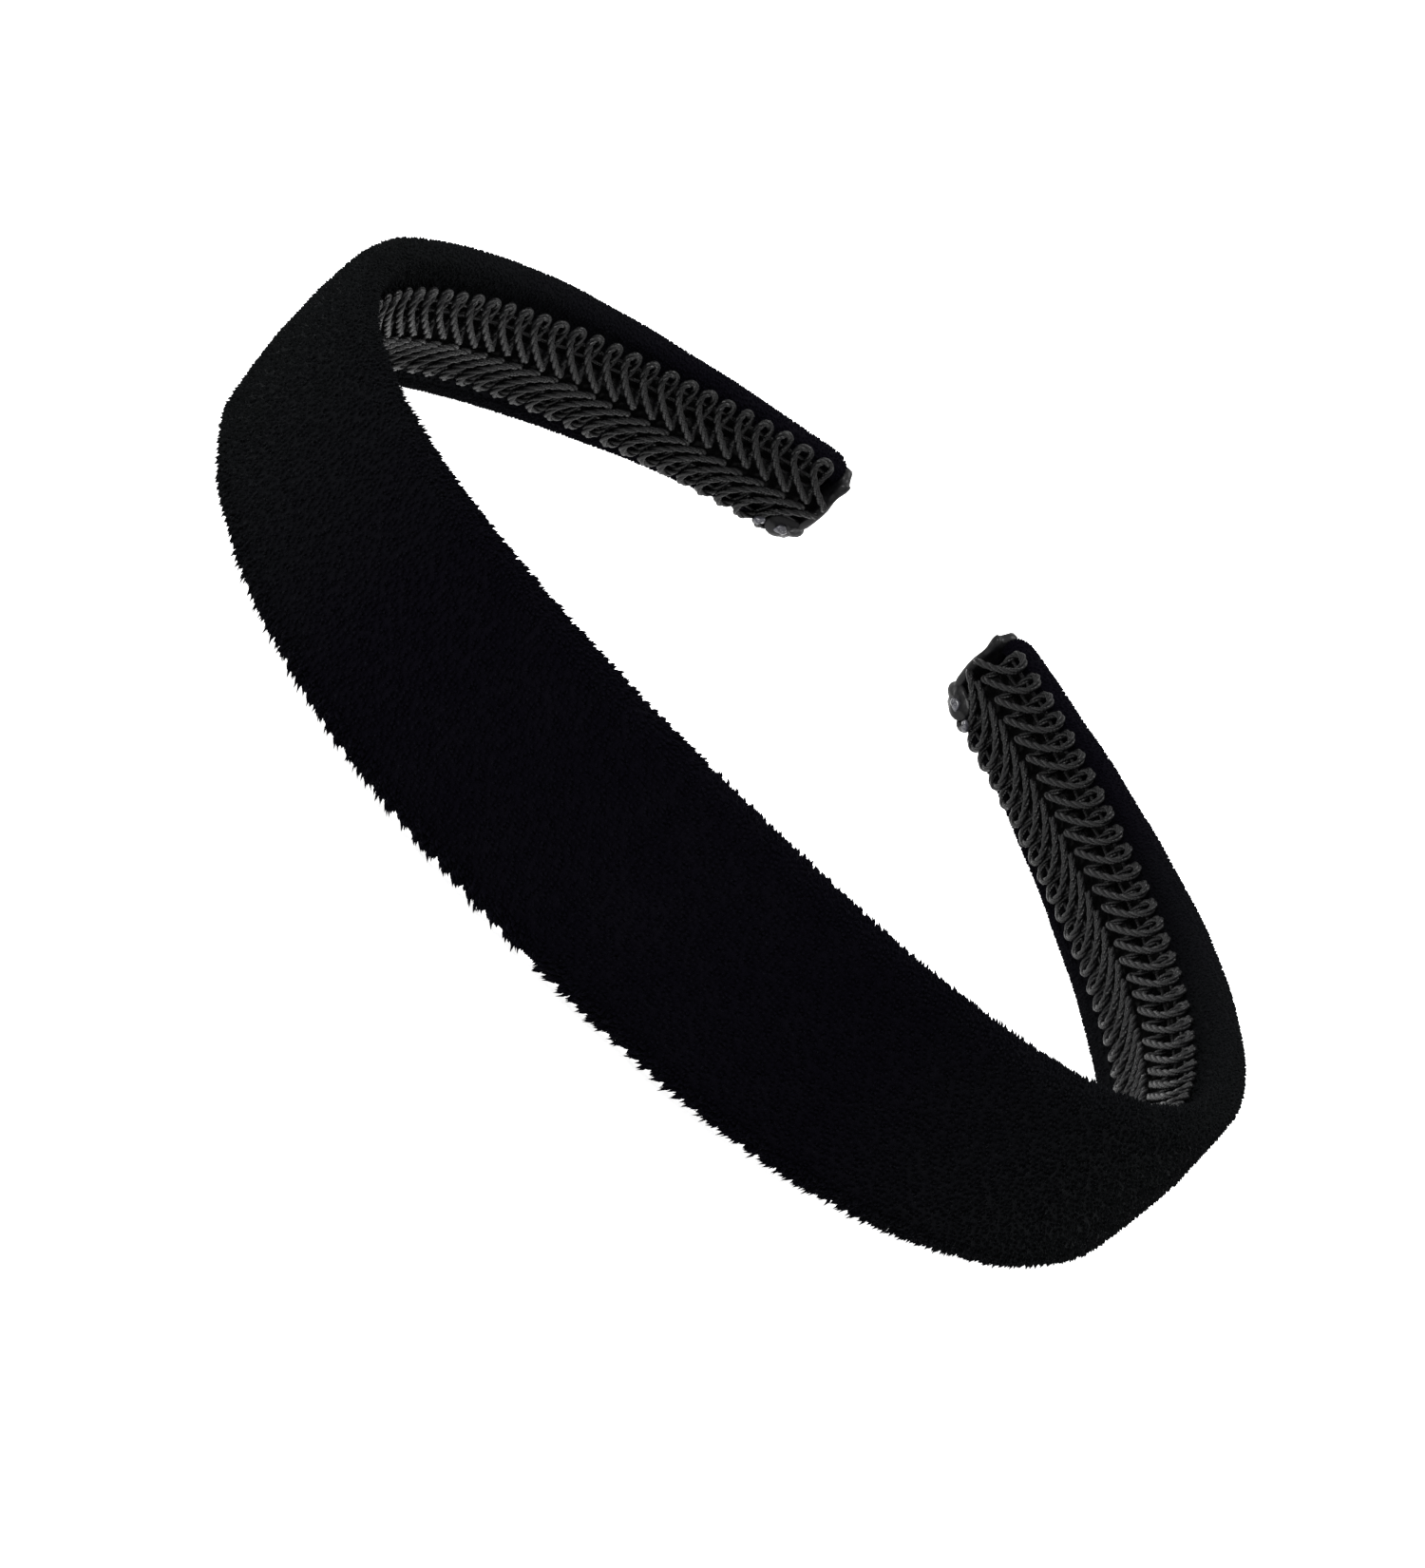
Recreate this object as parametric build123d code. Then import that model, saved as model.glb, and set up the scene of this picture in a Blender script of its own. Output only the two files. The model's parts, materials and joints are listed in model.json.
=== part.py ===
"""Velvet-covered alice band, in millimetres.

The hoop lies on its lower edge: +Z is up, +Y runs from the crown to the open ends, and the origin is
the middle of its footprint on the surface that it rests on.

A place on the band has three coordinates. "along" is the arc length from the middle of the crown,
positive towards the right-hand tip. "out" is the distance from the centreline, positive away from
the head. "height" is the distance above the hoop's middle plane.
"""
from build123d import *
from math import cos, radians, sin
import os

# Centreline of one half, from the middle of the crown to a tip: radius and turn of each tangent arc.
CROWN_ARC = (133.0, 8.1)
HAUNCH_ARC = (63.0, 26.0)
SHOULDER_ARC = (46.5, 75.2)
UPPER_ARM_ARC = (89.0, 21.0)
LOWER_ARM_ARC = (196.0, 12.6)
ARCS = (CROWN_ARC, HAUNCH_ARC, SHOULDER_ARC, UPPER_ARM_ARC, LOWER_ARM_ARC)

# Side view of the hoop, from the crown towards the tips: distance from the crown's middle, then how
# far the upper and the lower edge lie from the middle plane.
TAPER = (
    (-6.0, 15.2, 15.6),
    (12.0, 13.4, 13.8),
    (50.0, 11.1, 11.5),
    (91.0, 9.1, 9.7),
    (118.0, 6.5, 6.9),
    (130.0, 5.1, 6.0),
)

# Layers, as "out" values from the pile's surface to the part that faces the head.
VELVET_FACE = 2.25
FOAM_FACE = 1.35
CORE_FACE = 0.15
CORE_BACK = -1.25
HEM_GLUE_BACK = -1.40
HEM_BACK = -2.25
BRAID_BACK = -4.60

VELVET_THICKNESS = VELVET_FACE - FOAM_FACE
FOAM_INSET = 1.0          # foam edge to core edge
CHANNEL_HALF = 4.5        # bare strip between the two hems, filled with glue
HEM_GLUE_MARGIN = 0.6     # hem glue to the hem's raw edge and to the core's edge
BRAID_HALF = 6.35         # outer edge of a braid row
BRAID_VALLEY = 0.15       # inner edge of a braid row
BRAID_ROUND = 0.95
BRAID_INSET = 0.2         # least distance from a row to the velvet's edge, near the tips
VELVET_ROUND = 1.4

TIP_FILM = 0.5            # hot-melt film over the cut end
TIP_FILM_LOW = -5.4
TIP_FILM_HIGH = 4.2
TIP_DAB_LENGTH = 5.0
TIP_DAB_HEIGHT = 3.2
TIP_DAB_THICKNESS = 0.45

FLEX_GAP = 0.1            # each body's clearance from the plane where an arm flexes
REST_TILT = 3.2           # the taper lets the hoop lean, in degrees, until crown and arms touch down

HALF_LENGTH = sum(radius * radians(turn) for radius, turn in ARCS)
ARC_STARTS = [sum(r * radians(t) for r, t in ARCS[:i]) for i in range(len(ARCS) + 1)]
FLEX_ALONG = (ARC_STARTS[2] + ARC_STARTS[3]) / 2
REACH = 200.0             # larger than the hoop, for cutting prisms
BLANK_HALF = 25.0         # taller than the band, before the taper is cut

parts = {}


def place(along, out):
    """Point of the hoop's plan at an arc length and an offset; the last arc runs on past the tip."""
    side = 1 if along >= 0 else -1
    left_over = abs(along)
    x, y, heading = 0.0, 0.0, 0.0
    for radius, turn in ARCS:
        last = radius == ARCS[-1][0]
        step = left_over if last else min(left_over, radius * radians(turn))
        swing = step / radius
        x += radius * (sin(heading + swing) - sin(heading))
        y += radius * (cos(heading) - cos(heading + swing))
        heading += swing
        left_over -= step
    x += sin(heading) * out
    y -= cos(heading) * out
    return side * x, y


def curve(start, end, out):
    """Tangent arcs at one offset, between two arc lengths."""
    inner = [side * s for s in ARC_STARTS[:-1] for side in (-1, 1)]
    stops = sorted({start, end, *[s for s in inner if start < s < end]})
    edges = []
    for a, b in zip(stops, stops[1:]):
        edges.append(ThreePointArc(place(a, out), place((a + b) / 2, out), place(b, out)))
    return edges


def strip(start, end, back, face, low, high):
    """Curved strip between two arc lengths, two offsets and two heights."""
    edges = curve(start, end, back) + curve(start, end, face)
    edges.append(Line(place(start, back), place(start, face)))
    edges.append(Line(place(end, back), place(end, face)))
    plan = make_face(Wire(edges))
    return extrude(Pos(0, 0, low) * plan, amount=high - low, dir=(0, 0, 1))


def taper(inset):
    """Prism along X whose side view is the band's tapered outline, pulled in by inset."""
    upper = [(0, y, above - inset) for y, above, _ in TAPER]
    lower = [(0, y, inset - below) for y, _, below in TAPER]
    edges = [Spline(*upper), Spline(*lower)]
    edges.append(Line(upper[0], lower[0]))
    edges.append(Line(upper[-1], lower[-1]))
    return extrude(make_face(Wire(edges)), amount=REACH, dir=(1, 0, 0), both=True)


def tapered_strip(start, end, back, face, inset):
    return strip(start, end, back, face, -BLANK_HALF, BLANK_HALF) & taper(inset)


def velvet_cover(start, end, closed_ends):
    """Velvet round the face and both edges, with its hems turned in on the back."""
    low_end = start + VELVET_THICKNESS if closed_ends[0] else start
    high_end = end - VELVET_THICKNESS if closed_ends[1] else end
    outside = tapered_strip(start, end, HEM_BACK, VELVET_FACE, 0.0)
    long_edges = outside.faces().sort_by(Axis.Z)
    rims = [e for e in long_edges[0].edges() + long_edges[-1].edges() if e.length > 3 * VELVET_FACE]
    outside = fillet(rims, VELVET_ROUND)
    pocket = tapered_strip(low_end, high_end, HEM_GLUE_BACK, FOAM_FACE, VELVET_THICKNESS)
    channel = strip(low_end, high_end, HEM_BACK - 1, HEM_GLUE_BACK, -CHANNEL_HALF, CHANNEL_HALF)
    return outside - pocket - channel


def braid_row(start, end, low, high):
    """One padded row of the gimp braid, with its face towards the head rounded over."""
    row = strip(start, end, BRAID_BACK, HEM_BACK, low, high)
    facing_radii = [radius + BRAID_BACK for radius, _ in ARCS]
    arcs = row.edges().filter_by(GeomType.CIRCLE)
    facing = [e for e in arcs if min(abs(e.radius - r) for r in facing_radii) < 0.01]
    return fillet(facing, BRAID_ROUND) & taper(BRAID_INSET)


def band_section(name, start, end, closed_ends):
    """All the layers of one flexing section of the hoop."""
    core_start = start + VELVET_THICKNESS if closed_ends[0] else start
    core_end = end - VELVET_THICKNESS if closed_ends[1] else end
    inset = VELVET_THICKNESS
    core = tapered_strip(core_start, core_end, CORE_BACK, CORE_FACE, inset)
    foam = tapered_strip(core_start, core_end, CORE_FACE, FOAM_FACE, inset + FOAM_INSET)
    parts[f"{name}_core"] = core
    parts[f"{name}_foam_pad"] = foam
    parts[f"{name}_velvet_cover"] = velvet_cover(start, end, closed_ends)
    glue_edge = CHANNEL_HALF + HEM_GLUE_MARGIN
    hem_glue = tapered_strip(core_start, core_end, HEM_GLUE_BACK, CORE_BACK, inset + HEM_GLUE_MARGIN)
    above = Pos(0, 0, glue_edge + REACH / 2) * Box(2 * REACH, 2 * REACH, REACH)
    parts[f"{name}_upper_hem_glue"] = hem_glue & above
    parts[f"{name}_lower_hem_glue"] = hem_glue & mirror(above, about=Plane.XY)
    braid_glue = strip(core_start, core_end, HEM_BACK, CORE_BACK, -CHANNEL_HALF, CHANNEL_HALF)
    parts[f"{name}_braid_glue"] = braid_glue & taper(inset)
    parts[f"{name}_upper_braid_row"] = braid_row(start, end, BRAID_VALLEY, BRAID_HALF)
    parts[f"{name}_lower_braid_row"] = braid_row(start, end, -BRAID_HALF, -BRAID_VALLEY)


def tip_glue(name, side):
    """Hot melt over a cut end, with a dab on the lower corner of the braid."""
    film_end = HALF_LENGTH + TIP_FILM
    film = strip(HALF_LENGTH, film_end, BRAID_BACK, VELVET_FACE - VELVET_ROUND, TIP_FILM_LOW, TIP_FILM_HIGH)
    dab_low = -BRAID_HALF + BRAID_ROUND
    dab = strip(HALF_LENGTH - TIP_DAB_LENGTH, film_end, BRAID_BACK - TIP_DAB_THICKNESS, BRAID_BACK,
                dab_low, dab_low + TIP_DAB_HEIGHT)
    glue = film + dab
    parts[name] = glue if side > 0 else mirror(glue, about=Plane.YZ)


def build():
    """Make every part in the hoop's own plane."""
    crown_end = FLEX_ALONG - FLEX_GAP
    arm_start = FLEX_ALONG + FLEX_GAP
    band_section("crown", -crown_end, crown_end, (False, False))
    band_section("right_arm", arm_start, HALF_LENGTH, (False, True))
    for node in [n for n in parts if n.startswith("right_arm")]:
        parts[node.replace("right_arm", "left_arm")] = mirror(parts[node], about=Plane.YZ)
    tip_glue("right_tip_glue", 1)
    tip_glue("left_tip_glue", -1)


def stand():
    """Lean the hoop until it rests on the crown's and the arms' lower edges, over the origin."""
    for node, solid in parts.items():
        parts[node] = solid.rotate(Axis.X, -REST_TILT)
    boxes = [solid.bounding_box() for solid in parts.values()]
    low_y = min(box.min.Y for box in boxes)
    high_y = max(box.max.Y for box in boxes)
    shift = Vector(0, -(low_y + high_y) / 2, -min(box.min.Z for box in boxes))
    for node, solid in parts.items():
        parts[node] = solid.translate(shift)
    return shift


build()
shift = stand()
os.makedirs("parts", exist_ok=True)
for node, solid in parts.items():
    export_step(solid, f"parts/{node}.step")
print("hoop plane to frame:", shift)
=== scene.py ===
import json
import math
import bpy
import numpy as np
from mathutils import Matrix, Vector


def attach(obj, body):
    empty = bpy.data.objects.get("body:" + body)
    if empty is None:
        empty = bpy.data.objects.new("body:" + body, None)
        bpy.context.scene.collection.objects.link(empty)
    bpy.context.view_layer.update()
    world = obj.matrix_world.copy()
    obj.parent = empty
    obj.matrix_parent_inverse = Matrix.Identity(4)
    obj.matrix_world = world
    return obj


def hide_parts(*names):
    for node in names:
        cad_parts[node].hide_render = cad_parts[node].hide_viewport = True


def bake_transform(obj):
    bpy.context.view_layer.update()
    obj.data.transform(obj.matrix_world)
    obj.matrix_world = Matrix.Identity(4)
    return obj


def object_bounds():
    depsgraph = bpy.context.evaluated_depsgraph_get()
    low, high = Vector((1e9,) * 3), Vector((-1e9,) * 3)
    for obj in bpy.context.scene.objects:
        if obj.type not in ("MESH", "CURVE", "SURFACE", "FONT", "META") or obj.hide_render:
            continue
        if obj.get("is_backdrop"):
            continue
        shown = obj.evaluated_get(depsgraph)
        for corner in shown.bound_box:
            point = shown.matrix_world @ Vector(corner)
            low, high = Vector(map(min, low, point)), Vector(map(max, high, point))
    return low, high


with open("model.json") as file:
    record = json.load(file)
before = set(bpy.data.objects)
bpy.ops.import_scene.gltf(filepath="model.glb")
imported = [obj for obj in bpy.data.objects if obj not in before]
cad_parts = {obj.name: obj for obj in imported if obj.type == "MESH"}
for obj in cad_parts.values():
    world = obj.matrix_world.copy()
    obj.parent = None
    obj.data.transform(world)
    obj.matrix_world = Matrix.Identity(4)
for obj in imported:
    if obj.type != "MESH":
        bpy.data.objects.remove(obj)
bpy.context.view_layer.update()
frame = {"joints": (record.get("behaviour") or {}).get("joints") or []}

MM = 0.001
SIDES = {"left": -1, "right": 1}

# Centreline of one half: radius and turn of each tangent arc, from the crown to a tip.
ARCS = ((133.0, 8.1), (63.0, 26.0), (46.5, 75.2), (89.0, 21.0), (196.0, 12.6))
HALF_LENGTH = sum(radius * math.radians(turn) for radius, turn in ARCS)
FLEX_ALONG = sum(r * math.radians(t) for r, t in ARCS[:2]) + ARCS[2][0] * math.radians(ARCS[2][1]) / 2
REST_TILT = math.radians(3.2)

# From the hoop's middle plane to the band's upper (1) and lower (-1) edges, at distances from the crown.
TAPER_Y = np.array([-6.0, 12.0, 50.0, 91.0, 118.0, 130.0])
TAPER_EDGE = {1: np.array([15.0, 13.2, 11.1, 9.3, 6.8, 5.4]),
              -1: np.array([15.6, 13.8, 11.4, 9.5, 6.8, 6.0])}

VELVET_FACE = 2.25
HEM_BACK = -2.25
FULL_END = 2.6            # the braid's fillers and the sealed layers stop this short of a tip
ASKEW_CUT = 0.14          # how far an end runs on, for each mm of height above its lower corner
ASKEW_CORNER = 6.0        # the lower corner, below the middle plane
ASKEW_LENGTH = 14.0       # stretch before the tip that is drawn out by the cut


# ---------------------------------------------------------------- the hoop's own coordinates

def centreline(along):
    """x, y and heading of the right half's centreline, for an array of arc lengths."""
    x, y, heading = np.zeros_like(along), np.zeros_like(along), np.zeros_like(along)
    rest = along.copy()
    for i, (radius, turn) in enumerate(ARCS):
        low = -1.0 if i == 0 else 0.0
        high = math.radians(turn) if i < len(ARCS) - 1 else 1.0
        swing = np.clip(rest / radius, low, high)
        x += radius * (np.sin(heading + swing) - np.sin(heading))
        y += radius * (np.cos(heading) - np.cos(heading + swing))
        heading = heading + swing
        rest = rest - radius * swing
    return x, y, heading


def flex_pivot():
    """The point on the right arm's flex line that the frame gives."""
    return next(j for j in frame["joints"] if j["name"] == "right_arm_flex")["pos_m"]


def frame_shift():
    """Where the crown's middle lies in the frame: found from the right arm's flex line."""
    _, y, heading = centreline(np.array([FLEX_ALONG]))
    pivot_y = (y[0] - math.cos(heading[0]) * VELVET_FACE) * MM
    pivot = flex_pivot()
    return pivot[1] - pivot_y * math.cos(REST_TILT), pivot[2] + pivot_y * math.sin(REST_TILT)


SHIFT_Y, SHIFT_Z = frame_shift()


def tilt(x, y, z):
    """A point of the hoop's own plane, in mm, to the frame, in m."""
    lean_c, lean_s = math.cos(REST_TILT), math.sin(REST_TILT)
    return np.stack([x * MM + 0 * z, (y * lean_c + z * lean_s) * MM + SHIFT_Y,
                     (z * lean_c - y * lean_s) * MM + SHIFT_Z], -1)


def to_frame(along, out, height, side):
    """Points of the band, as arrays of the same shape, to the frame. The tips are cut a little askew."""
    near_tip = np.clip((along - HALF_LENGTH) / ASKEW_LENGTH + 1, 0, 1) ** 2
    x, y, heading = centreline(along + ASKEW_CUT * near_tip * np.maximum(0, height + ASKEW_CORNER))
    return tilt(side * (x + np.sin(heading) * out), y - np.cos(heading) * out, height)


def half_width(along, edge):
    """From the middle plane to the upper (1) or lower (-1) edge: a smooth curve through the taper."""
    y = centreline(along)[1]
    taper = TAPER_EDGE[edge]
    slope = np.gradient(taper, TAPER_Y)
    k = np.clip(np.searchsorted(TAPER_Y, y) - 1, 0, len(TAPER_Y) - 2)
    gap = TAPER_Y[k + 1] - TAPER_Y[k]
    t = (y - TAPER_Y[k]) / gap
    start, end = taper[k], taper[k + 1]
    return (start * (2 * t**3 - 3 * t**2 + 1) + end * (3 * t**2 - 2 * t**3)
            + slope[k] * gap * (t**3 - 2 * t**2 + t) + slope[k + 1] * gap * (t**3 - t**2))


# ---------------------------------------------------------------- meshes

def new_mesh(name, points, faces, smooth=True, uv=None):
    """An object from points (n, 3) and one or more face arrays (m, 3) or (m, 4)."""
    mesh = bpy.data.meshes.new(name)
    faces = faces if isinstance(faces, list) else [faces]
    loops = np.concatenate([f.ravel() for f in faces]).astype(np.int32)
    sizes = np.concatenate([np.full(len(f), f.shape[1]) for f in faces]).astype(np.int32)
    starts = np.concatenate([[0], np.cumsum(sizes)[:-1]]).astype(np.int32)
    mesh.vertices.add(len(points))
    mesh.vertices.foreach_set("co", np.asarray(points, np.float32).ravel())
    mesh.loops.add(len(loops))
    mesh.loops.foreach_set("vertex_index", loops)
    mesh.polygons.add(len(sizes))
    mesh.polygons.foreach_set("loop_start", starts)
    mesh.polygons.foreach_set("use_smooth", np.full(len(sizes), smooth))
    if uv is not None:
        layer = mesh.uv_layers.new(name="uv")
        layer.data.foreach_set("uv", np.asarray(uv, np.float32)[loops].ravel())
    mesh.update(calc_edges=True)
    mesh.validate()
    obj = bpy.data.objects.new(name, mesh)
    bpy.context.scene.collection.objects.link(obj)
    return obj


def grid_faces(rows, columns, closed):
    """Quads of a grid of points, row by row. closed joins the last column to the first."""
    i = np.arange(rows - 1)[:, None]
    j = np.arange(columns if closed else columns - 1)[None, :]
    k = (j + 1) % columns
    quads = np.stack([i * columns + j, i * columns + k, (i + 1) * columns + k, (i + 1) * columns + j], -1)
    return quads.reshape(-1, 4)


def flip(faces, side):
    """A mirrored half's faces are turned over, so that they face outwards."""
    return faces if side > 0 else faces[:, ::-1]


def bend(piece):
    """Bakes the piece's transform into its mesh."""
    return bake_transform(piece)


def stand_for(side_name, layer):
    """Hides one layer's CAD nodes, which a new piece replaces."""
    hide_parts(f"crown_{layer}", f"{side_name}_arm_{layer}")


# ---------------------------------------------------------------- velvet cover

BASE_FACE = 1.9           # the ground cloth: the pile stands on it, up to VELVET_FACE and a little over
BASE_INSET = 0.35         # ground cloth to the CAD's edge
CLOTH = 0.7               # thickness of the ground cloth
RIM_RADIUS = 1.9          # the rounding of the band's two edges
RIM_FULLNESS = (0.85, 0.8)  # powers of the rounding, outwards and in height: a circle has 1
LEAST_HEM = 0.5           # a hem stays this wide where the band narrows
COVER_SEED = 11
COVER_RIPPLE = (0.07, 9.0)  # depth and pitch of the cloth's slow unevenness
FACE_CROWN = 0.65         # the foam makes the face a little fuller along its middle
RAW_EDGE = 4.2            # the hems' raw edges, under the braid
RIM_POINTS, BACK_POINTS, FACE_POINTS = 15, 9, 33
STATIONS = 261
CORNER = {1: 1.9, -1: 2.6}  # how far the tips' upper and lower corners are rounded over
END_SOFTNESS = 1.5        # stretch over which the ends close
END_STATIONS = 8
END_KEPT = 0.35           # share of the thickness that the closing leaves alone
END_ARC = 0.93            # how far along its quarter of an ellipse the closing runs


def outline(above, below, inset):
    """The cover's outer line across the band, from the upper raw edge round the face to the lower."""
    depth = BASE_FACE - inset
    turn = np.linspace(-math.pi / 2, math.pi / 2, RIM_POINTS)
    rim_out = depth * np.sign(np.sin(turn)) * np.abs(np.sin(turn)) ** RIM_FULLNESS[0]
    rim_reach = (RIM_RADIUS - inset) * np.cos(turn) ** RIM_FULLNESS[1]
    upper_flat, lower_flat = above - RIM_RADIUS, below - RIM_RADIUS
    upper_back = np.linspace(min(RAW_EDGE, upper_flat - LEAST_HEM), upper_flat, BACK_POINTS)[:-1]
    lower_back = np.linspace(min(RAW_EDGE, lower_flat - LEAST_HEM), lower_flat, BACK_POINTS)[:-1]
    face_height = np.linspace(upper_flat, -lower_flat, FACE_POINTS)[1:-1]
    middle = (above - below) / 2
    swell = FACE_CROWN * (1 - ((face_height - middle) / ((upper_flat + lower_flat) / 2)) ** 2)
    back = np.full(BACK_POINTS - 1, -depth)
    out = np.concatenate([back, rim_out, depth + swell, rim_out[::-1], back])
    height = np.concatenate([upper_back, upper_flat + rim_reach, face_height,
                             -(lower_flat + rim_reach)[::-1], -lower_back[::-1]])
    return out, height


def slow_noise(along, across, seed, scale):
    """Smooth random values between about -1 and 1, over arrays of two coordinates in mm."""
    rng = np.random.default_rng(seed)
    total = np.zeros(np.broadcast(along, across).shape)
    for _ in range(7):
        angle, phase = rng.uniform(0, 2 * math.pi, 2)
        pitch = scale * rng.uniform(0.6, 1.7)
        travel = along * math.cos(angle) + across * math.sin(angle)
        total = total + np.sin(2 * math.pi * travel / pitch + phase)
    return total / 3.5


def rounded_edge(along, edge):
    """The ground cloth's edge, with the tips' corners rounded over."""
    radius = CORNER[edge]
    into = np.clip(along - (HALF_LENGTH - radius), 0, radius)
    return half_width(along, edge) - BASE_INSET - (radius - np.sqrt(radius**2 - into**2))


def cover_grid(side, inset, along):
    """Points of the cover's outer (inset 0) or inner (inset CLOTH) side, one row per station."""
    edges = zip(rounded_edge(along, 1), rounded_edge(along, -1))
    rows = [outline(above, below, inset) for above, below in edges]
    out, height = np.array([r[0] for r in rows]), np.array([r[1] for r in rows])
    spread = np.broadcast_to(along[:, None], out.shape)
    across = np.arange(out.shape[1])[None, :] * 0.7
    depth, pitch = COVER_RIPPLE
    ripple = depth * slow_noise(spread * side, across, COVER_SEED, pitch)
    return spread, out * (1 + ripple / BASE_FACE), height + np.sign(height) * ripple * 0.6


def velvet_half(side_name):
    """The velvet's ground cloth over one half, closed at the tip, and the grid of its outer side."""
    side = SIDES[side_name]
    ending = HALF_LENGTH - END_SOFTNESS * (1 - np.sin(np.linspace(0.12, 1, END_STATIONS) * math.pi / 2))
    along = np.concatenate([np.linspace(0, HALF_LENGTH - END_SOFTNESS, STATIONS), ending])
    outer_along, outer_out, outer_height = cover_grid(side, 0.0, along)
    inner_along, inner_out, inner_height = cover_grid(side, CLOTH, along)
    past = np.clip((along - (HALF_LENGTH - END_SOFTNESS)) / END_SOFTNESS, 0, 1)[:, None]
    outer_out = outer_out * (END_KEPT + (1 - END_KEPT) * np.sqrt(1 - (END_ARC * past) ** 2))
    outer = to_frame(outer_along, outer_out, outer_height, side)
    inner = to_frame(np.minimum(inner_along, HALF_LENGTH - CLOTH - 0.3), inner_out, inner_height, side)
    loop = np.concatenate([outer, inner[:, ::-1]], 1)
    rows, columns = loop.shape[:2]
    first = np.arange(columns)
    caps = np.stack([first[:columns // 2 - 1], first[::-1][:columns // 2 - 1],
                     first[::-1][1:columns // 2], first[1:columns // 2]], -1)
    body = flip(grid_faces(rows, columns, True), side)
    start_cap = flip(caps, side) + rows * columns
    end_cap = flip(caps[:, ::-1], side) + (rows + 1) * columns
    points = np.concatenate([loop.reshape(-1, 3), loop[0], loop[-1]])
    return new_mesh(f"velvet_cover_{side_name}", points, [body, start_cap, end_cap]), outer


# ---------------------------------------------------------------- velvet pile

PILE_LEAN = 0.75          # how far the nap leans towards the crown's middle, as a share of its length
PILE_SEED = 31
PILE_WANDER = 0.16        # how unevenly the locks point
PILE_ROOT = 0.15          # how deep the locks start in the ground cloth
PILE_THINS = (70.0, 60.0)  # the pile wears shorter from the first arc length on, over the second
SHOULDER = (42.0, 22.0)   # where the shoulder starts, and the stretch that it takes to set in
SHOULDER_LOSS = 0.35      # share of its length that the lower rim's pile loses there
LOCK_PITCH = {"upper_rim": 1.0, "lower_rim": 1.75}   # the rims' pile gathers into locks this far apart


def surface_grid(points, side):
    """Normals and nap direction (towards the crown's middle) at each point of a cover's outer grid."""
    along = np.gradient(points, axis=0)
    across = np.gradient(points, axis=1)
    normal = np.cross(across, along) * side
    normal /= np.linalg.norm(normal, axis=2, keepdims=True) + 1e-12
    nap = -along / (np.linalg.norm(along, axis=2, keepdims=True) + 1e-12)
    return normal, nap


def bilinear(grid, row, column):
    """Values of a grid of points or vectors between its rows and columns."""
    i = np.clip(row.astype(int), 0, grid.shape[0] - 2)
    j = np.clip(column.astype(int), 0, grid.shape[1] - 2)
    u, v = (row - i)[:, None], (column - j)[:, None]
    return ((grid[i, j] * (1 - u) + grid[i + 1, j] * u) * (1 - v)
            + (grid[i, j + 1] * (1 - u) + grid[i + 1, j + 1] * u) * v)


def scatter(points, rng, gap_along, gap_across, first, last):
    """Jittered places (row, column, along) on part of a grid, a set distance apart in mm."""
    steps = np.linalg.norm(np.diff(points[:, points.shape[1] // 2], axis=0), axis=1) / MM
    station = np.concatenate([[0], np.cumsum(steps)])
    rows, columns, places = [], [], []
    for spot in np.arange(gap_along / 2, station[-1], gap_along):
        row = np.interp(spot, station, np.arange(len(station)))
        ring = points[int(round(row)), first:last + 1]
        reach = np.concatenate([[0], np.cumsum(np.linalg.norm(np.diff(ring, axis=0), axis=1) / MM)])
        count = max(1, int(reach[-1] / gap_across))
        spots = (np.arange(count) + rng.uniform(0, 1) + rng.uniform(-0.35, 0.35, count)) / count * reach[-1]
        spots = np.clip(spots, 0, reach[-1])
        columns.append(first + np.interp(spots, reach, np.arange(len(ring))))
        jitter = rng.uniform(-0.4, 0.4, count) * gap_along / steps.mean()
        rows.append(np.clip(row + jitter, 0, len(station) - 1.01))
        places.append(np.full(count, spot))
    return np.concatenate(rows), np.concatenate(columns), np.concatenate(places)


def tufts(name, root, first_way, last_way, length, width, sides, rng):
    """Bent, pointed locks of pile: a base ring, a middle ring and a tip for each root."""
    count = len(root)
    cross = np.cross(first_way, rng.normal(size=(count, 3)))
    cross /= np.linalg.norm(cross, axis=1, keepdims=True) + 1e-12
    other = np.cross(first_way, cross)
    base = root - first_way * (PILE_ROOT * MM)
    middle = root + first_way * (length * 0.5)[:, None]
    tip = middle + last_way * (length * 0.5)[:, None]
    angle = np.arange(sides) * 2 * math.pi / sides
    ring = (cross[:, None] * np.cos(angle)[None, :, None] + other[:, None] * np.sin(angle)[None, :, None])
    points = np.concatenate([base[:, None] + ring * (width * 0.5)[:, None, None],
                             middle[:, None] + ring * (width * 0.3)[:, None, None], tip[:, None]], 1)
    start = (np.arange(count) * (2 * sides + 1))[:, None]
    i, j = np.arange(sides)[None], ((np.arange(sides) + 1) % sides)[None]
    quads = np.stack([start + i, start + j, start + sides + j, start + sides + i], -1).reshape(-1, 4)
    tips = np.stack([start + sides + i, start + sides + j, start + 2 * sides + 0 * i], -1).reshape(-1, 3)
    return new_mesh(name, points.reshape(-1, 3), [quads, tips])


def lock_pull(along, rng, pitch):
    """Signed distance to the nearest lock's middle, and a 0 to 1 share that peaks there."""
    middles = np.cumsum(pitch * rng.uniform(0.65, 1.35, int(1.3 * HALF_LENGTH / pitch)))
    k = np.clip(np.searchsorted(middles, along), 1, len(middles) - 1)
    near = np.where(along - middles[k - 1] < middles[k] - along, middles[k - 1], middles[k])
    away = near - along
    return away, np.clip(1 - np.abs(away) / (0.62 * pitch), 0, 1)


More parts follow.
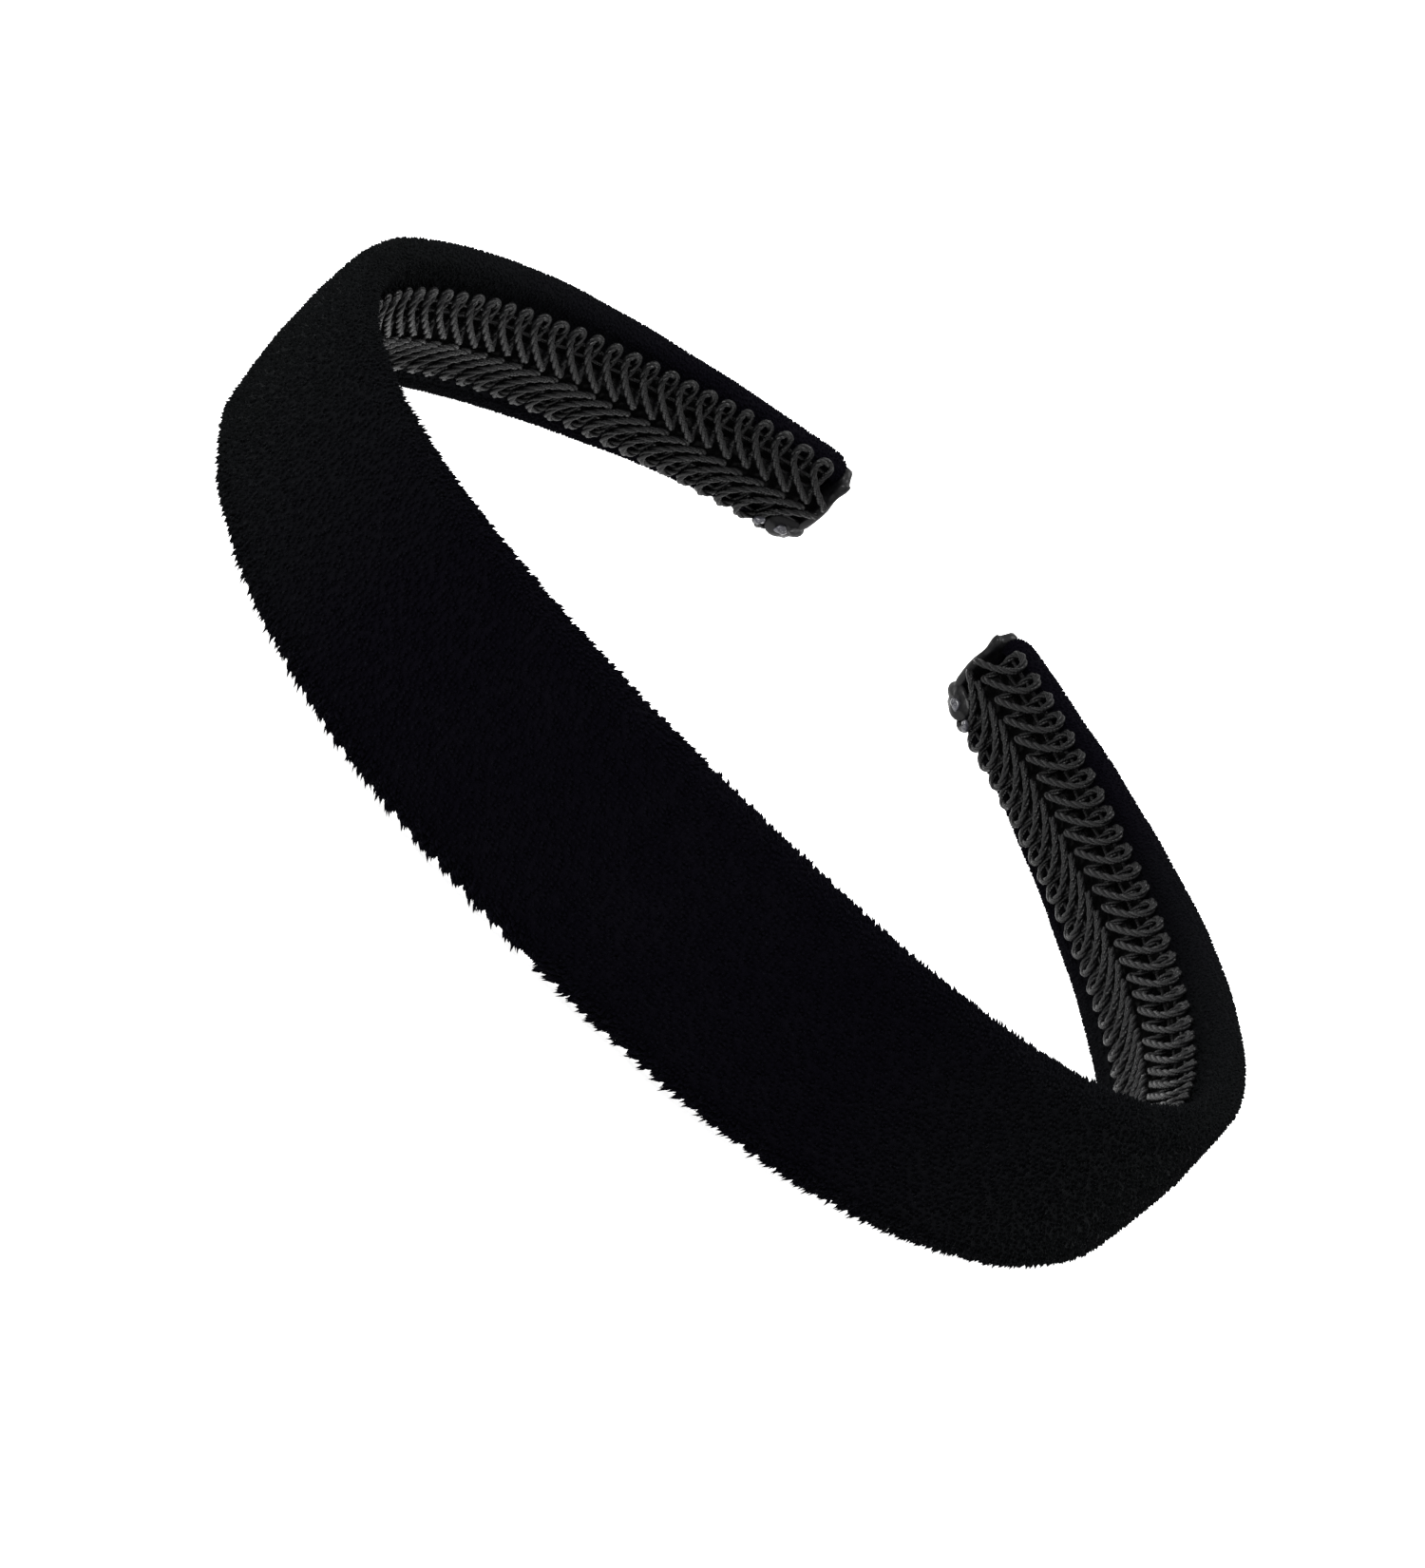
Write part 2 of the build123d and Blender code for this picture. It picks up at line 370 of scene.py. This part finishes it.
def pile_bands(columns):
    """Each band's first and last grid column, gaps along and across, length, width and sides of a lock."""
    rim = BACK_POINTS - 1 + RIM_POINTS - 1
    last = columns - 1
    return {
        "face": (rim, last - rim, 0.62, 0.62, 0.62, 0.6, 3),
        "upper_hem": (0, BACK_POINTS, 0.62, 0.62, 0.5, 0.6, 3),
        "lower_hem": (last - BACK_POINTS, last, 0.62, 0.62, 0.5, 0.6, 3),
        "upper_rim": (BACK_POINTS - 1, rim, 0.42, 0.5, 0.95, 0.5, 4),
        "lower_rim": (last - rim, columns - BACK_POINTS, 0.42, 0.5, 1.65, 0.6, 4),
    }


def pile_half(side_name, surface):
    """The pile of one half, band by band. It is longest on the crown's rims, and short towards the tip."""
    side = SIDES[side_name]
    rng = np.random.default_rng(PILE_SEED + side)
    normal, nap = surface_grid(surface, side)
    pieces = []
    for band, sizes in pile_bands(surface.shape[1]).items():
        first, last, gap_along, gap_across, reach, width, sides = sizes
        row, column, along = scatter(surface, rng, gap_along, gap_across, first, last)
        root, up, lean = (bilinear(grid, row, column) for grid in (surface, normal, nap))
        up /= np.linalg.norm(up, axis=1, keepdims=True)
        fade = np.clip((along - PILE_THINS[0]) / PILE_THINS[1], 0, 1)
        if band in LOCK_PITCH:
            away, peak = lock_pull(along, rng, LOCK_PITCH[band])
            strength = (0.35 + 0.65 * peak ** 1.5) * (1 - fade) + fade * 0.55
            loss = SHOULDER_LOSS if band == "lower_rim" else 0.0
            shoulder = np.clip((along - SHOULDER[0]) / SHOULDER[1], 0, 1) * loss
            strength = strength * (1 - 0.45 * fade) * (1 - shoulder)
            length = reach * strength * rng.uniform(0.85, 1.1, len(along))
            gather = (away * (1 - fade))[:, None]
        else:
            length = reach * rng.uniform(0.8, 1.15, len(along)) * (1 - 0.35 * fade)
            gather = np.zeros((len(along), 1))
        wander = rng.normal(size=root.shape) * PILE_WANDER
        lean_amount = PILE_LEAN * (1 - 0.5 * fade)[:, None]
        first_way = up + lean * lean_amount * 0.45 - lean * gather * 0.3 + wander
        last_way = up * 0.75 + lean * lean_amount - lean * gather * 0.5 + wander
        first_way /= np.linalg.norm(first_way, axis=1, keepdims=True)
        last_way /= np.linalg.norm(last_way, axis=1, keepdims=True)
        pieces.append(tufts(f"velvet_pile_{band}_{side_name}", root, first_way, last_way, length * MM,
                            width * MM * rng.uniform(0.8, 1.2, len(along)), sides, rng))
    return pieces


# ---------------------------------------------------------------- gimp braid

BRAID_PITCH = 3.27        # from one loop to the next, along the band
CORD_RADIUS = 0.5
STRANDS = 3               # twisted together into the cord
STRAND_RADIUS = 0.275
STRAND_TWIST = 4.2        # mm of cord for one whole turn of the strands
STRAND_SIDES = 6
STEPS_PER_TURN = 40
HEAD_INSET = 0.3          # least distance from a head to the band's edge, near the tips
# Each loop runs from its head at the row's outer edge, over a crossing, to a hook at the valley.
# edge: the heads' distance from the valley. lean: how far the hook lies nearer the tip than the head,
# and the power that it grows by. swing: how far the cord doubles back, and how much of that is lost
# towards the valley.
ROW_SHAPES = {
    "upper": {"edge": 6.7, "lean": (2.9, 2.1), "swing": (1.3, 0.9)},
    "lower": {"edge": 6.3, "lean": (2.8, 3.3), "swing": (2.1, 0.25)},
}
LEAN_STARTS = 9.0         # the loops take this long to lean over, from the crown's middle
SWING_STARTS = 2.5        # and this long to cross themselves
RAISE_EDGE = 0.7          # the cord's middle over the hems, at the heads
RAISE_VALLEY = 1.15       # and how much higher it is along the valley
RAISE_SWING = 0.45        # the cord passes over itself on its way to the valley, and under on its way back
FILLERS = (1.8, 3.2, 4.6)  # straight cords under the loops, from the valley
FILLER_RADIUS = 0.22      # for each straight cord
FILLER_STATIONS = 320
BRAID_SEED, FILLER_SEED = 5, 8


def across_path(path, reference):
    """Two unit vectors across a path at each point, and the length up to it in mm."""
    ahead = np.gradient(path, axis=0)
    ahead /= np.linalg.norm(ahead, axis=1, keepdims=True) + 1e-12
    first = reference - ahead * (reference * ahead).sum(1, keepdims=True)
    first /= np.linalg.norm(first, axis=1, keepdims=True) + 1e-12
    length = np.concatenate([[0], np.cumsum(np.linalg.norm(np.diff(path, axis=0), axis=1))]) / MM
    return first, np.cross(ahead, first), length


def tube(path, reference, radius, sides):
    """A closed tube round a path. Its UVs are turns round the tube and mm along it."""
    first, second, length = across_path(path, reference)
    angle = np.arange(sides + 1) * 2 * math.pi / sides
    ring = first[:, None] * np.cos(angle)[None, :, None] + second[:, None] * np.sin(angle)[None, :, None]
    points = path[:, None] + ring * np.reshape(radius, (-1, 1, 1))
    turns = np.arange(sides + 1)[None] / sides
    uv = np.stack(np.broadcast_arrays(turns, length[:, None]), -1).reshape(-1, 2)
    points = points.reshape(-1, 3)
    faces = grid_faces(len(path), sides + 1, False)[:, ::-1]
    last = len(points) - sides - 1
    ends = [np.arange(sides)[None], (last + np.arange(sides))[None, ::-1]]
    return points, [faces] + ends, uv


def strands(path, reference):
    """The cord's strands, wound round one path."""
    first, second, length = across_path(path, reference)
    tubes = []
    for k in range(STRANDS):
        angle = (2 * math.pi * (length / STRAND_TWIST + k / STRANDS))[:, None]
        offset = (CORD_RADIUS - STRAND_RADIUS) * MM * (first * np.cos(angle) + second * np.sin(angle))
        tubes.append(tube(path + offset, reference, STRAND_RADIUS * MM, STRAND_SIDES))
    return tubes


def outward(along, side):
    """Unit vectors away from the head, in the frame."""
    heading = centreline(along)[2]
    zero = 0 * along
    return (tilt(side * np.sin(heading), -np.cos(heading), zero) - tilt(zero, zero, zero)) / MM


def joined(name, tubes):
    """One object from several tubes."""
    points, faces, uvs, start = [], [], [], 0
    for tube_points, tube_faces, tube_uv in tubes:
        points.append(tube_points)
        uvs.append(tube_uv)
        faces.extend(f + start for f in tube_faces)
        start += len(tube_points)
    return new_mesh(name, np.concatenate(points), faces, uv=np.concatenate(uvs))


def braid_half(side_name, row_name):
    """One row of the braid: a cord that crosses itself in flat leaning loops, over straight fillers."""
    side = SIDES[side_name]
    row = 1 if row_name == "upper" else -1
    shape = ROW_SHAPES[row_name]
    turns = (HALF_LENGTH - shape["lean"][0]) / BRAID_PITCH
    t = np.linspace(0, turns * 2 * math.pi, int(turns * STEPS_PER_TURN))
    base = BRAID_PITCH * t / (2 * math.pi)
    uneven = slow_noise(base * side, row * 9.0, BRAID_SEED, 7.0)
    inwards = (1 - np.cos(t)) / 2
    reach, power = shape["lean"]
    lean = reach * inwards**power * (1 - np.exp(-(base / LEAN_STARTS) ** 2)) * (1 + 0.05 * uneven)
    width, loss = shape["swing"]
    swing = width * (1 + loss * np.cos(t)) * np.sin(t) * (1 - np.exp(-(base / SWING_STARTS) ** 2))
    edge = np.minimum(shape["edge"], half_width(base, row) - HEAD_INSET) - CORD_RADIUS
    along = np.clip(base + lean - swing * (1 + 0.1 * uneven), 0.0, HALF_LENGTH - CORD_RADIUS)
    height = row * (edge - (edge - CORD_RADIUS) * inwards * (1 + 0.03 * uneven))
    raised = RAISE_EDGE + RAISE_VALLEY * inwards + RAISE_SWING * np.sin(t) + 0.06 * uneven
    path = to_frame(along, HEM_BACK - raised, height, side)
    tubes = strands(path, outward(along, side))
    straight = np.linspace(0, HALF_LENGTH - FULL_END, FILLER_STATIONS)
    squeeze = np.minimum(1, (half_width(straight, row) - HEAD_INSET) / shape["edge"])
    for spot in FILLERS:
        drift = 0.12 * slow_noise(straight, spot * 5.0, FILLER_SEED, 6.0)
        lift = 0.3 + 0.5 * RAISE_VALLEY * (1 - spot / shape["edge"])
        path = to_frame(straight, HEM_BACK - lift + 0 * straight, row * (spot + drift) * squeeze, side)
        tubes.append(tube(path, outward(straight, side), FILLER_RADIUS * MM, STRAND_SIDES))
    return joined(f"braid_{row_name}_row_{side_name}", tubes)


# ---------------------------------------------------------------- sealed layers

LAYER_EDGE = 1.35 + BASE_INSET  # from the CAD's edge to the core's
FOAM_INSET = 1.0
GLUE_INSET = 0.6          # glue to the core's edge
HEM_GLUE_EDGE = RAW_EDGE + 0.6  # inner edge of the hems' glue, under the hems
HEM_GLUE_INSET = 1.2      # least distance from the hem glue's inner edge to the core's edge, near the tips
CHANNEL_EDGE = RAW_EDGE - 0.15  # the braid's glue fills the bare strip between the raw edges
HEM_GLUE = (-1.15, -1.07)  # out values of the hem glue's two sides
SLAB_STATIONS = 150


def slab_half(name, side_name, back, face, low, high):
    """A closed strip of one half: low and high give its edges' heights at each arc length."""
    side = SIDES[side_name]
    along = np.linspace(0, HALF_LENGTH - FULL_END, SLAB_STATIONS)
    low, high = low(along), high(along)
    ring = [(back, low), (face, low), (face, high), (back, high)]
    points = np.stack([to_frame(along, out + 0 * along, height, side) for out, height in ring], 1)
    faces = flip(grid_faces(SLAB_STATIONS, 4, True), -side)
    end = flip(np.array([[0, 1, 2, 3]]), -side)
    ends = [end[:, ::-1], end + 4 * (SLAB_STATIONS - 1)]
    return new_mesh(name, points.reshape(-1, 3), [faces] + ends, smooth=False)


def inner_layers(side_name):
    """Core, foam and glue: sealed inside, so that nothing shows through where the band bends."""

    def upper(inset, limit=math.inf):
        return lambda along: np.minimum(limit, half_width(along, 1) - LAYER_EDGE - inset)

    def lower(inset, limit=math.inf):
        return lambda along: np.maximum(-limit, LAYER_EDGE + inset - half_width(along, -1))

    layers = {
        "core": (-1.05, 0.12, lower(0), upper(0)),
        "foam_pad": (0.14, 1.1, lower(FOAM_INSET), upper(FOAM_INSET)),
        "upper_hem_glue": (*HEM_GLUE, upper(HEM_GLUE_INSET, HEM_GLUE_EDGE), upper(GLUE_INSET)),
        "lower_hem_glue": (*HEM_GLUE, lower(GLUE_INSET), lower(HEM_GLUE_INSET, HEM_GLUE_EDGE)),
        "braid_glue": (-2.3, -1.07, lower(GLUE_INSET, CHANNEL_EDGE), upper(GLUE_INSET, CHANNEL_EDGE)),
    }
    pieces = {}
    for layer, sizes in layers.items():
        pieces[layer] = slab_half(f"{layer}_{side_name}", side_name, *sizes)
    return pieces


# ---------------------------------------------------------------- hot melt on the tips

TIP_DEPTH = (-1.2, 2.6)   # the film's middle and half depth, across the band's thickness
TIP_MARGIN = {1: 1.1, -1: 0.5}  # from the band's edges to the film's
TIP_ROUNDING = 0.75       # below 1, the film's outline is squarer than an ellipse


def lump(along0, height0, out0, long, wide, thick, side, seed, turn=0.0):
    """Points and faces of a blob of hot melt on the braid. Its foot is sunk in."""
    rows, columns = 13, 24
    rise = np.linspace(-0.35, 1, rows)[:, None] * math.pi / 2
    angle = (np.arange(columns) * 2 * math.pi / columns)[None, :]
    uneven = 1 + 0.28 * slow_noise(3 * np.cos(angle) + 0 * rise, 3 * np.sin(angle) + 2 * rise, seed, 5.0)
    spread = np.cos(np.minimum(rise, math.pi / 2 - 0.04)) * uneven
    a, b = long / 2 * spread * np.cos(angle), wide / 2 * spread * np.sin(angle)
    along = along0 + a * math.cos(turn) - b * math.sin(turn)
    height = height0 + a * math.sin(turn) + b * math.cos(turn)
    out = out0 - thick * np.sin(rise) * uneven
    points = to_frame(along.ravel(), out.ravel(), height.ravel(), side)
    faces = flip(grid_faces(rows, columns, True), side)
    ends = flip(np.arange(columns)[None], side)
    return points, [faces, ends[:, ::-1], ends + columns * (rows - 1)]


def end_film(side, seed):
    """Hot melt over the cut end: a thin dome whose skirt laps a little way back over the velvet."""
    columns = 56
    turn = (np.arange(columns) * 2 * math.pi / columns)[None, :]
    # share of the end's size, distance past the ground cloth's end
    profile = np.array([[0.05, -0.9], [0.8, -0.8], [0.96, -0.75], [1.02, -0.3], [1.0, 0.1], [0.9, 0.34],
                        [0.7, 0.42], [0.4, 0.46], [0.06, 0.48]])
    share, past = profile[:, :1], profile[:, 1:]
    middle_out, reach_out = TIP_DEPTH
    tip = np.array([HALF_LENGTH])
    above, below = (half_width(tip, edge)[0] - TIP_MARGIN[edge] for edge in (1, -1))
    reach_up, middle_up = (above + below) / 2, (above - below) / 2
    ragged = 1 + 0.09 * slow_noise(4 * np.cos(turn) + 0 * share, 4 * np.sin(turn) + 0 * share, seed, 3.0)
    box_out = np.sign(np.cos(turn)) * np.abs(np.cos(turn)) ** TIP_ROUNDING
    box_up = np.sign(np.sin(turn)) * np.abs(np.sin(turn)) ** TIP_ROUNDING
    out = middle_out + reach_out * share * box_out * ragged
    height = middle_up + reach_up * share * box_up * ragged
    bumps = 0.2 * slow_noise(height, out, seed + 1, 1.8)
    along = HALF_LENGTH + past + bumps * (past > 0)
    points = to_frame(along.ravel(), out.ravel(), height.ravel(), side)
    faces = flip(grid_faces(len(profile), columns, True), side)
    ends = flip(np.arange(columns)[None], side)
    return points, [faces, ends[:, ::-1], ends + columns * (len(profile) - 1)]


def tip_glue_half(side_name, clear_finish, bead_finish):
    """The glue of one tip: a film over the end and a smear on its lower corner, then two paler beads."""
    side = SIDES[side_name]
    crest = HEM_BACK - RAISE_EDGE - 1.2
    # each lump: its place along, in height and out, then its length, width and thickness
    clear = [
        end_film(side, 3),
        lump(HALF_LENGTH - 1.3, -4.2, crest + 0.95, 4.6, 3.4, 0.75, side, 4, 0.05),
    ]
    beads = [
        lump(HALF_LENGTH - 5.6, -4.7, crest, 1.5, 1.0, 0.45, side, 5, 0.5),
        lump(HALF_LENGTH - 2.3, -4.5, crest + 0.1, 1.8, 1.1, 0.5, side, 6, 0.35),
    ]
    points, faces, start, clear_faces = [], [], 0, 0
    for i, (part_points, part_faces) in enumerate(clear + beads):
        points.append(part_points)
        faces.extend(f + start for f in part_faces)
        start += len(part_points)
        if i < len(clear):
            clear_faces += sum(len(f) for f in part_faces)
    melt = new_mesh(f"tip_hot_melt_{side_name}", np.concatenate(points), faces)
    melt.data.materials.append(clear_finish)
    melt.data.materials.append(bead_finish)
    index = (np.arange(len(melt.data.polygons)) >= clear_faces).astype(np.int32)
    melt.data.polygons.foreach_set("material_index", index)
    return melt


# ---------------------------------------------------------------- camera, light and floor

def camera():
    """The camera looks at the crown's face from above, rolled so that the crown lies to the lower left."""
    turn, raised, roll = math.radians(0.028), math.radians(21.72), math.radians(45.0)
    distance = 800.4
    aim_right, aim_up = -6.265, -7.66
    level = math.cos(raised)
    back = np.array([math.sin(turn) * level, -math.cos(turn) * level, math.sin(raised)])
    flat_right = np.cross(-back, [0, 0, 1])
    flat_right /= np.linalg.norm(flat_right)
    flat_up = np.cross(flat_right, -back)
    right = flat_right * math.cos(roll) + flat_up * math.sin(roll)
    up = flat_up * math.cos(roll) - flat_right * math.sin(roll)
    target = np.array([0.0, 60.0, 0.0]) + right * aim_right + up * aim_up
    spot = target + back * distance
    lean_c, lean_s = math.cos(REST_TILT), math.sin(REST_TILT)
    leaned = []
    for x, y, z in (right, up, back):
        leaned.append((x, y * lean_c + z * lean_s, z * lean_c - y * lean_s))
    view = Matrix(leaned).transposed().to_4x4()
    view.translation = Vector(tilt(*[np.array(v) for v in spot]))
    data = bpy.data.cameras.new("camera")
    data.sensor_fit = "VERTICAL"
    data.sensor_height = 36.0
    data.lens = 163.7
    data.clip_start, data.clip_end = 0.02, 20.0
    obj = bpy.data.objects.new("camera", data)
    obj.matrix_world = view
    bpy.context.scene.collection.objects.link(obj)
    bpy.context.scene.camera = obj


def area_light(name, spot, target, size, power):
    """A round soft light at a spot, turned to a target, with its size in metres and power in watts."""
    data = bpy.data.lights.new(name, "AREA")
    data.shape = "DISK"
    data.size = size
    data.energy = power
    obj = bpy.data.objects.new(name, data)
    obj.location = spot
    obj.rotation_euler = (Vector(target) - Vector(spot)).to_track_quat("-Z", "Y").to_euler()
    bpy.context.scene.collection.objects.link(obj)


def studio():
    """White surroundings, two soft lights and a pale floor under the hoop."""
    bpy.context.scene.view_settings.view_transform = "Standard"
    world = bpy.data.worlds.new("studio")
    bpy.context.scene.world = world
    world.use_nodes = True
    world.node_tree.nodes["Background"].inputs["Color"].default_value = (1, 1, 1, 1)
    world.node_tree.nodes["Background"].inputs["Strength"].default_value = 1.0
    area_light("key_light", (-0.45, -0.55, 0.75), (0, 0, 0), 0.5, 9.0)
    area_light("top_light", (0.25, 0.35, 0.9), (0, 0, 0), 0.6, 7.0)
    low = min(0.0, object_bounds()[0][2])
    corners = np.array([[-4, -4, low], [4, -4, low], [4, 4, low], [-4, 4, low]])
    floor = new_mesh("floor", corners, np.array([[0, 1, 2, 3]]), smooth=False)
    floor.data.materials.append(paper_finish())
    floor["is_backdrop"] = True


# ---------------------------------------------------------------- materials

class Finish:
    """A procedural material: short names for the nodes that it is wired from."""

    def __init__(self, name, **inputs):
        self.material = bpy.data.materials.new(name)
        self.material.use_nodes = True
        self.tree = self.material.node_tree
        self.shader = self.tree.nodes["Principled BSDF"]
        for socket, value in inputs.items():
            self.shader.inputs[socket.replace("_", " ")].default_value = value
        self.place = self.tree.nodes.new("ShaderNodeTexCoord").outputs["Object"]

    def link(self, source, target):
        self.tree.links.new(source, target)

    def noise(self, size, detail=3.0, roughness=0.6, vector=None):
        """Noise with features of about size mm, from 0 to 1."""
        node = self.tree.nodes.new("ShaderNodeTexNoise")
        node.inputs["Scale"].default_value = 1.0 / (size * MM)
        node.inputs["Detail"].default_value = detail
        node.inputs["Roughness"].default_value = roughness
        self.link(vector or self.place, node.inputs["Vector"])
        return node.outputs["Fac"]

    def maths(self, operation, *values):
        """A sum on numbers or other nodes' outputs."""
        node = self.tree.nodes.new("ShaderNodeMath")
        node.operation = operation
        for socket, value in zip(node.inputs, values):
            if isinstance(value, (int, float)):
                socket.default_value = value
            else:
                self.link(value, socket)
        return node.outputs[0]

    def between(self, factor, low, high, start=0.3, end=0.7):
        """Maps factor from start..end to low..high: numbers, or colours of three."""
        node = self.tree.nodes.new("ShaderNodeMapRange")
        self.link(factor, node.inputs["Value"])
        node.inputs["From Min"].default_value = start
        node.inputs["From Max"].default_value = end
        if isinstance(low, (int, float)):
            node.inputs["To Min"].default_value = low
            node.inputs["To Max"].default_value = high
            return node.outputs["Result"]
        mix = self.tree.nodes.new("ShaderNodeMix")
        mix.data_type = "RGBA"
        factor_in, low_in, high_in = mix.inputs[0], mix.inputs[6], mix.inputs[7]
        self.link(node.outputs["Result"], factor_in)
        low_in.default_value = (*low, 1)
        high_in.default_value = (*high, 1)
        return mix.outputs[2]

    def across(self):
        """Distance in metres from the plane between the two halves."""
        node = self.tree.nodes.new("ShaderNodeSeparateXYZ")
        self.link(self.place, node.inputs[0])
        return self.maths("ABSOLUTE", node.outputs["X"])

    def colour(self, source):
        self.link(source, self.shader.inputs["Base Color"])

    def rough(self, source):
        self.link(source, self.shader.inputs["Roughness"])

    def bump(self, height, depth, strength=1.0):
        """Bumps depth mm high."""
        node = self.tree.nodes.new("ShaderNodeBump")
        node.inputs["Distance"].default_value = depth * MM
        node.inputs["Strength"].default_value = strength
        self.link(height, node.inputs["Height"])
        self.link(node.outputs["Normal"], self.shader.inputs["Normal"])


def velvet_finish(name, deep, high, sheen):
    """Black velvet: blue-black, and a little greyer far from the middle plane, on the shoulders, as painted
    sheen.
    """
    finish = Finish(name, Specular_IOR_Level=0.02, Sheen_Weight=sheen, Sheen_Roughness=0.4,
                    Sheen_Tint=(0.75, 0.85, 1.0, 1.0))
    painted_sheen_mask = finish.maths("ADD", finish.across(), finish.maths("MULTIPLY", finish.noise(6.0), 0.02))
    # painted sheen: the colour runs from deep to the greyer high over the shoulders, far from the middle
    # plane
    finish.colour(finish.between(painted_sheen_mask, deep, high, 0.045, 0.076))
    finish.rough(finish.between(finish.noise(6.0), 0.8, 1.0))
    finish.bump(finish.noise(0.35, 2.0), 0.12, 0.6)
    return finish.material


def cord_finish():
    """Twisted yarn: bumps wind along the cord, with worn places of uneven roughness, and a painted
    highlight that makes it lighter far from the middle plane, on the shoulders, in uneven patches.
    """
    finish = Finish("gimp_cord", Specular_IOR_Level=0.16)
    uv = finish.tree.nodes.new("ShaderNodeUVMap")
    uv.uv_map = "uv"
    split = finish.tree.nodes.new("ShaderNodeSeparateXYZ")
    finish.link(uv.outputs["UV"], split.inputs[0])
    winding = finish.maths("ADD", finish.maths("MULTIPLY", split.outputs["X"], 4 * math.pi),
                           finish.maths("MULTIPLY", split.outputs["Y"], 2 * math.pi / 0.8))
    twist = finish.maths("ABSOLUTE", finish.maths("SINE", winding))
    fibres = finish.noise(0.12, 2.0)
    height = finish.maths("ADD", twist, finish.maths("MULTIPLY", fibres, 0.7))
    finish.bump(height, 0.035, 0.6)
    lit = finish.maths("ADD", finish.across(), finish.maths("MULTIPLY", finish.noise(1.6), 0.03))
    # painted highlight: the cord's colour grows lighter far from the middle plane, on the shoulders
    finish.colour(finish.between(lit, (0.002, 0.002, 0.0022), (0.0075, 0.0075, 0.008), 0.05, 0.085))
    finish.rough(finish.between(finish.noise(1.1), 0.16, 0.55))
    return finish.material


def hot_melt_finish(name, deep, high, gloss, smooth, worn):
    """Set glue. gloss scales its shine, and smooth and worn are its least and greatest roughness."""
    finish = Finish(name, Specular_IOR_Level=0.6 * gloss, Coat_Weight=0.6 * gloss, Coat_Roughness=0.08)
    finish.colour(finish.between(finish.noise(1.5), deep, high))
    finish.rough(finish.between(finish.noise(0.9), smooth, worn))
    finish.bump(finish.noise(1.3, 3.0), 0.25, 0.7)
    return finish.material


def foam_finish():
    """Matt black foam."""
    finish = Finish("foam", Specular_IOR_Level=0.2)
    finish.colour(finish.between(finish.noise(0.8), (0.02, 0.02, 0.022), (0.05, 0.05, 0.055)))
    finish.rough(finish.between(finish.noise(3.0), 0.85, 1.0))
    finish.bump(finish.noise(0.5), 0.2)
    return finish.material


def core_finish():
    """Moulded black plastic."""
    finish = Finish("core_plastic", Specular_IOR_Level=0.4)
    finish.colour(finish.between(finish.noise(9.0), (0.012, 0.012, 0.012), (0.02, 0.02, 0.02)))
    finish.rough(finish.between(finish.noise(2.0), 0.45, 0.6))
    finish.bump(finish.noise(0.7), 0.03)
    return finish.material


def paper_finish():
    """The pale floor: matt, with a faint unevenness."""
    finish = Finish("pale_floor", Specular_IOR_Level=0.1, Emission_Color=(1.0, 1.0, 1.0, 1.0),
                    Emission_Strength=0.8)
    finish.colour(finish.between(finish.noise(40.0), (0.86, 0.86, 0.86), (0.9, 0.9, 0.9)))
    finish.rough(finish.between(finish.noise(25.0), 0.85, 1.0))
    return finish.material


# ---------------------------------------------------------------- build

# the second colour of each velvet is its painted sheen, greyer on the shoulders
velvet = velvet_finish("velvet_ground", (0.001, 0.0008, 0.0018), (0.0027, 0.003, 0.0032), 0.004)
pile_finish = velvet_finish("velvet_pile", (0.001, 0.0008, 0.0019), (0.0032, 0.0035, 0.0037), 0.008)
cord = cord_finish()
layer_finish = {
    "core": core_finish(),
    "foam_pad": foam_finish(),
    "braid_glue": hot_melt_finish("dark_glue", (0.0012, 0.0012, 0.0012), (0.003, 0.003, 0.003),
                                  0.05, 0.7, 0.9),
    "upper_hem_glue": hot_melt_finish("hem_glue", (0.2, 0.19, 0.16), (0.35, 0.33, 0.28), 0.6, 0.1, 0.35),
}
layer_finish["lower_hem_glue"] = layer_finish["upper_hem_glue"]
tip_melt = hot_melt_finish("tip_hot_melt", (0.001, 0.001, 0.0012), (0.003, 0.003, 0.0035), 0.2, 0.3, 0.7)
glue_bead = hot_melt_finish("glue_bead", (0.006, 0.006, 0.008), (0.045, 0.045, 0.055), 0.7, 0.12, 0.35)

camera()
for name in SIDES:
    cover, surface = velvet_half(name)
    cover.data.materials.append(velvet)
    stand_for(name, "velvet_cover")
    piles = pile_half(name, surface)
    for pile in piles:
        pile.data.materials.append(pile_finish)
        bend(pile)
    bend(cover)
    for layer, piece in inner_layers(name).items():
        piece.data.materials.append(layer_finish[layer])
        stand_for(name, layer)
        bend(piece)
    for row in ("upper", "lower"):
        braid = braid_half(name, row)
        braid.data.materials.append(cord)
        stand_for(name, f"{row}_braid_row")
        bend(braid)
    melt = tip_glue_half(name, tip_melt, glue_bead)
    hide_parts(f"{name}_tip_glue")
    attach(melt, f"{name}_arm")
studio()
